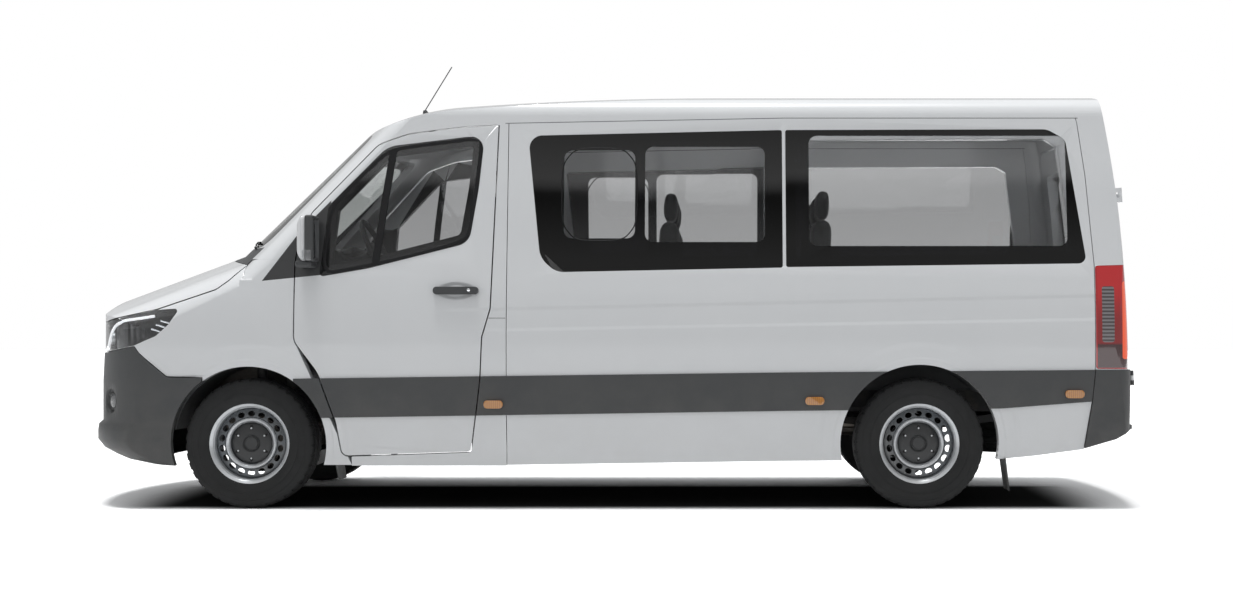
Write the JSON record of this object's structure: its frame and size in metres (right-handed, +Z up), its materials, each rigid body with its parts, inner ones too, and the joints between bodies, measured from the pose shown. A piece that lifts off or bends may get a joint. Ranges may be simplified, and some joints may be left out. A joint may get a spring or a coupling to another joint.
{
  "type": "minibus",
  "caption": "Long minibus with a sloping nose, side windows, opening cab and rear doors, a bonnet, and steered, rolling wheels.",
  "frame": {"origin": "on the ground, at the middle of the vehicle's length and width", "axes": "+X forward, +Y to the vehicle's left, +Z up"},
  "size_m": [5.9376, 2.33, 2.5165],
  "materials": {
    "body_paint": "white gloss paint",
    "dark_plastic": "grained dark grey plastic",
    "dash_plastic": "soft grained plastic",
    "clear_glass": "laminated glass",
    "dark_glass": "tinted safety glass",
    "lamp_glass": "clear lamp cover",
    "lamp_red": "red lamp cover",
    "lamp_orange": "orange lamp cover",
    "floor_grey": "floor covering",
    "chassis_black": "black underbody paint",
    "bare_iron": "cast",
    "exhaust_steel": "dull steel",
    "seat_cloth": "woven seat cloth",
    "tyre_rubber": "black rubber",
    "wheel_silver": "silver paint"
  },
  "bodies": {
    "root": {"roof": "body_paint", "tail_frame": "body_paint", "side_wall_left": "body_paint", "side_wall_right": "body_paint", "sliding_door": "body_paint", "cab_frame": "body_paint", "front_wings": "body_paint", "cowl": "dark_plastic", "grille": "dark_plastic", "front_bumper": "dark_plastic", "rear_bumper": "dark_plastic", "side_mouldings": "dark_plastic", "wheel_liners": "dark_plastic", "dashboard": "dash_plastic", "windscreen": "clear_glass", "side_windows": "dark_glass", "headlights": "lamp_glass", "tail_lights": "lamp_red", "side_marker_lamps": "lamp_orange", "floor_pan": "floor_grey", "chassis_frame": "chassis_black", "front_suspension": "chassis_black", "rear_axle": "chassis_black", "engine": "bare_iron", "gearbox_and_shaft": "bare_iron", "fuel_tank": "dark_plastic", "exhaust": "exhaust_steel", "driver_seat": "seat_cloth", "passenger_bench": "seat_cloth", "second_row_bench": "seat_cloth", "third_row_bench": "seat_cloth", "seat_frames": "chassis_black", "aerial": "dark_plastic", "spare_wheel": "tyre_rubber"},
    "front_door_left": {"front_door_left": "body_paint", "front_door_glass_left": "dark_glass", "mirror_left": "body_paint", "front_door_trim_left": "dark_plastic"},
    "front_door_right": {"front_door_right": "body_paint", "front_door_glass_right": "dark_glass", "mirror_right": "body_paint", "front_door_trim_right": "dark_plastic"},
    "rear_door_left": {"rear_door_left": "body_paint", "rear_door_glass_left": "dark_glass"},
    "rear_door_right": {"rear_door_right": "body_paint", "rear_door_glass_right": "dark_glass"},
    "bonnet": {"bonnet": "body_paint"},
    "steering_wheel": {"steering_wheel": "dash_plastic"},
    "knuckle_left": {"knuckle_left": "bare_iron"},
    "knuckle_right": {"knuckle_right": "bare_iron"},
    "wheel_front_left": {"tyre_front_left": "tyre_rubber", "wheel_front_left": "wheel_silver"},
    "wheel_front_right": {"tyre_front_right": "tyre_rubber", "wheel_front_right": "wheel_silver"},
    "wheel_rear_left": {"tyre_rear_left": "tyre_rubber", "wheel_rear_left": "wheel_silver"},
    "wheel_rear_right": {"tyre_rear_right": "tyre_rubber", "wheel_rear_right": "wheel_silver"}
  },
  "joints": [
    {"name": "steer_left", "type": "hinge", "parent": "root", "child": "knuckle_left", "pos_m": [1.941, 0.76, 0.356], "axis": [0, 0, 1], "range_deg": [-36, 36]},
    {"name": "steer_right", "type": "hinge", "parent": "root", "child": "knuckle_right", "pos_m": [1.941, -0.76, 0.356], "axis": [0, 0, 1], "range_deg": [-36, 36]},
    {"name": "steering_wheel_turn", "type": "hinge", "parent": "root", "child": "steering_wheel", "pos_m": [1.337, 0.43, 1.42], "axis": [-0.8988, 0, 0.4384], "range_deg": [-540, 540]},
    {"name": "wheel_front_left_spin", "type": "hinge", "parent": "knuckle_left", "child": "wheel_front_left", "pos_m": [1.941, 0.857, 0.356], "axis": [0, 1, 0], "continuous": true},
    {"name": "wheel_front_right_spin", "type": "hinge", "parent": "knuckle_right", "child": "wheel_front_right", "pos_m": [1.941, -0.857, 0.356], "axis": [0, 1, 0], "continuous": true},
    {"name": "wheel_rear_left_spin", "type": "hinge", "parent": "root", "child": "wheel_rear_left", "pos_m": [-1.724, 0.857, 0.356], "axis": [0, 1, 0], "continuous": true},
    {"name": "wheel_rear_right_spin", "type": "hinge", "parent": "root", "child": "wheel_rear_right", "pos_m": [-1.724, -0.857, 0.356], "axis": [0, 1, 0], "continuous": true},
    {"name": "front_door_left_hinge", "type": "hinge", "parent": "root", "child": "front_door_left", "pos_m": [1.736, 0.996, 1], "axis": [0, 0, -1], "range_deg": [0, 68]},
    {"name": "front_door_right_hinge", "type": "hinge", "parent": "root", "child": "front_door_right", "pos_m": [1.736, -0.996, 1], "axis": [0, 0, 1], "range_deg": [0, 68]},
    {"name": "rear_door_left_hinge", "type": "hinge", "parent": "root", "child": "rear_door_left", "pos_m": [-2.898, 0.905, 0.74], "axis": [-0.0649, 0, -0.9979], "range_deg": [0, 180]},
    {"name": "rear_door_right_hinge", "type": "hinge", "parent": "root", "child": "rear_door_right", "pos_m": [-2.898, -0.905, 0.74], "axis": [0.0649, 0, 0.9979], "range_deg": [0, 180]},
    {"name": "bonnet_hinge", "type": "hinge", "parent": "root", "child": "bonnet", "pos_m": [1.891, 0, 1.41], "axis": [0, -1, 0], "range_deg": [0, 50]}
  ],
  "couplings": [
    {"joint": "steer_right", "follows": "steer_left", "ratio": 1},
    {"joint": "steering_wheel_turn", "follows": "steer_left", "ratio": 15}
  ]
}
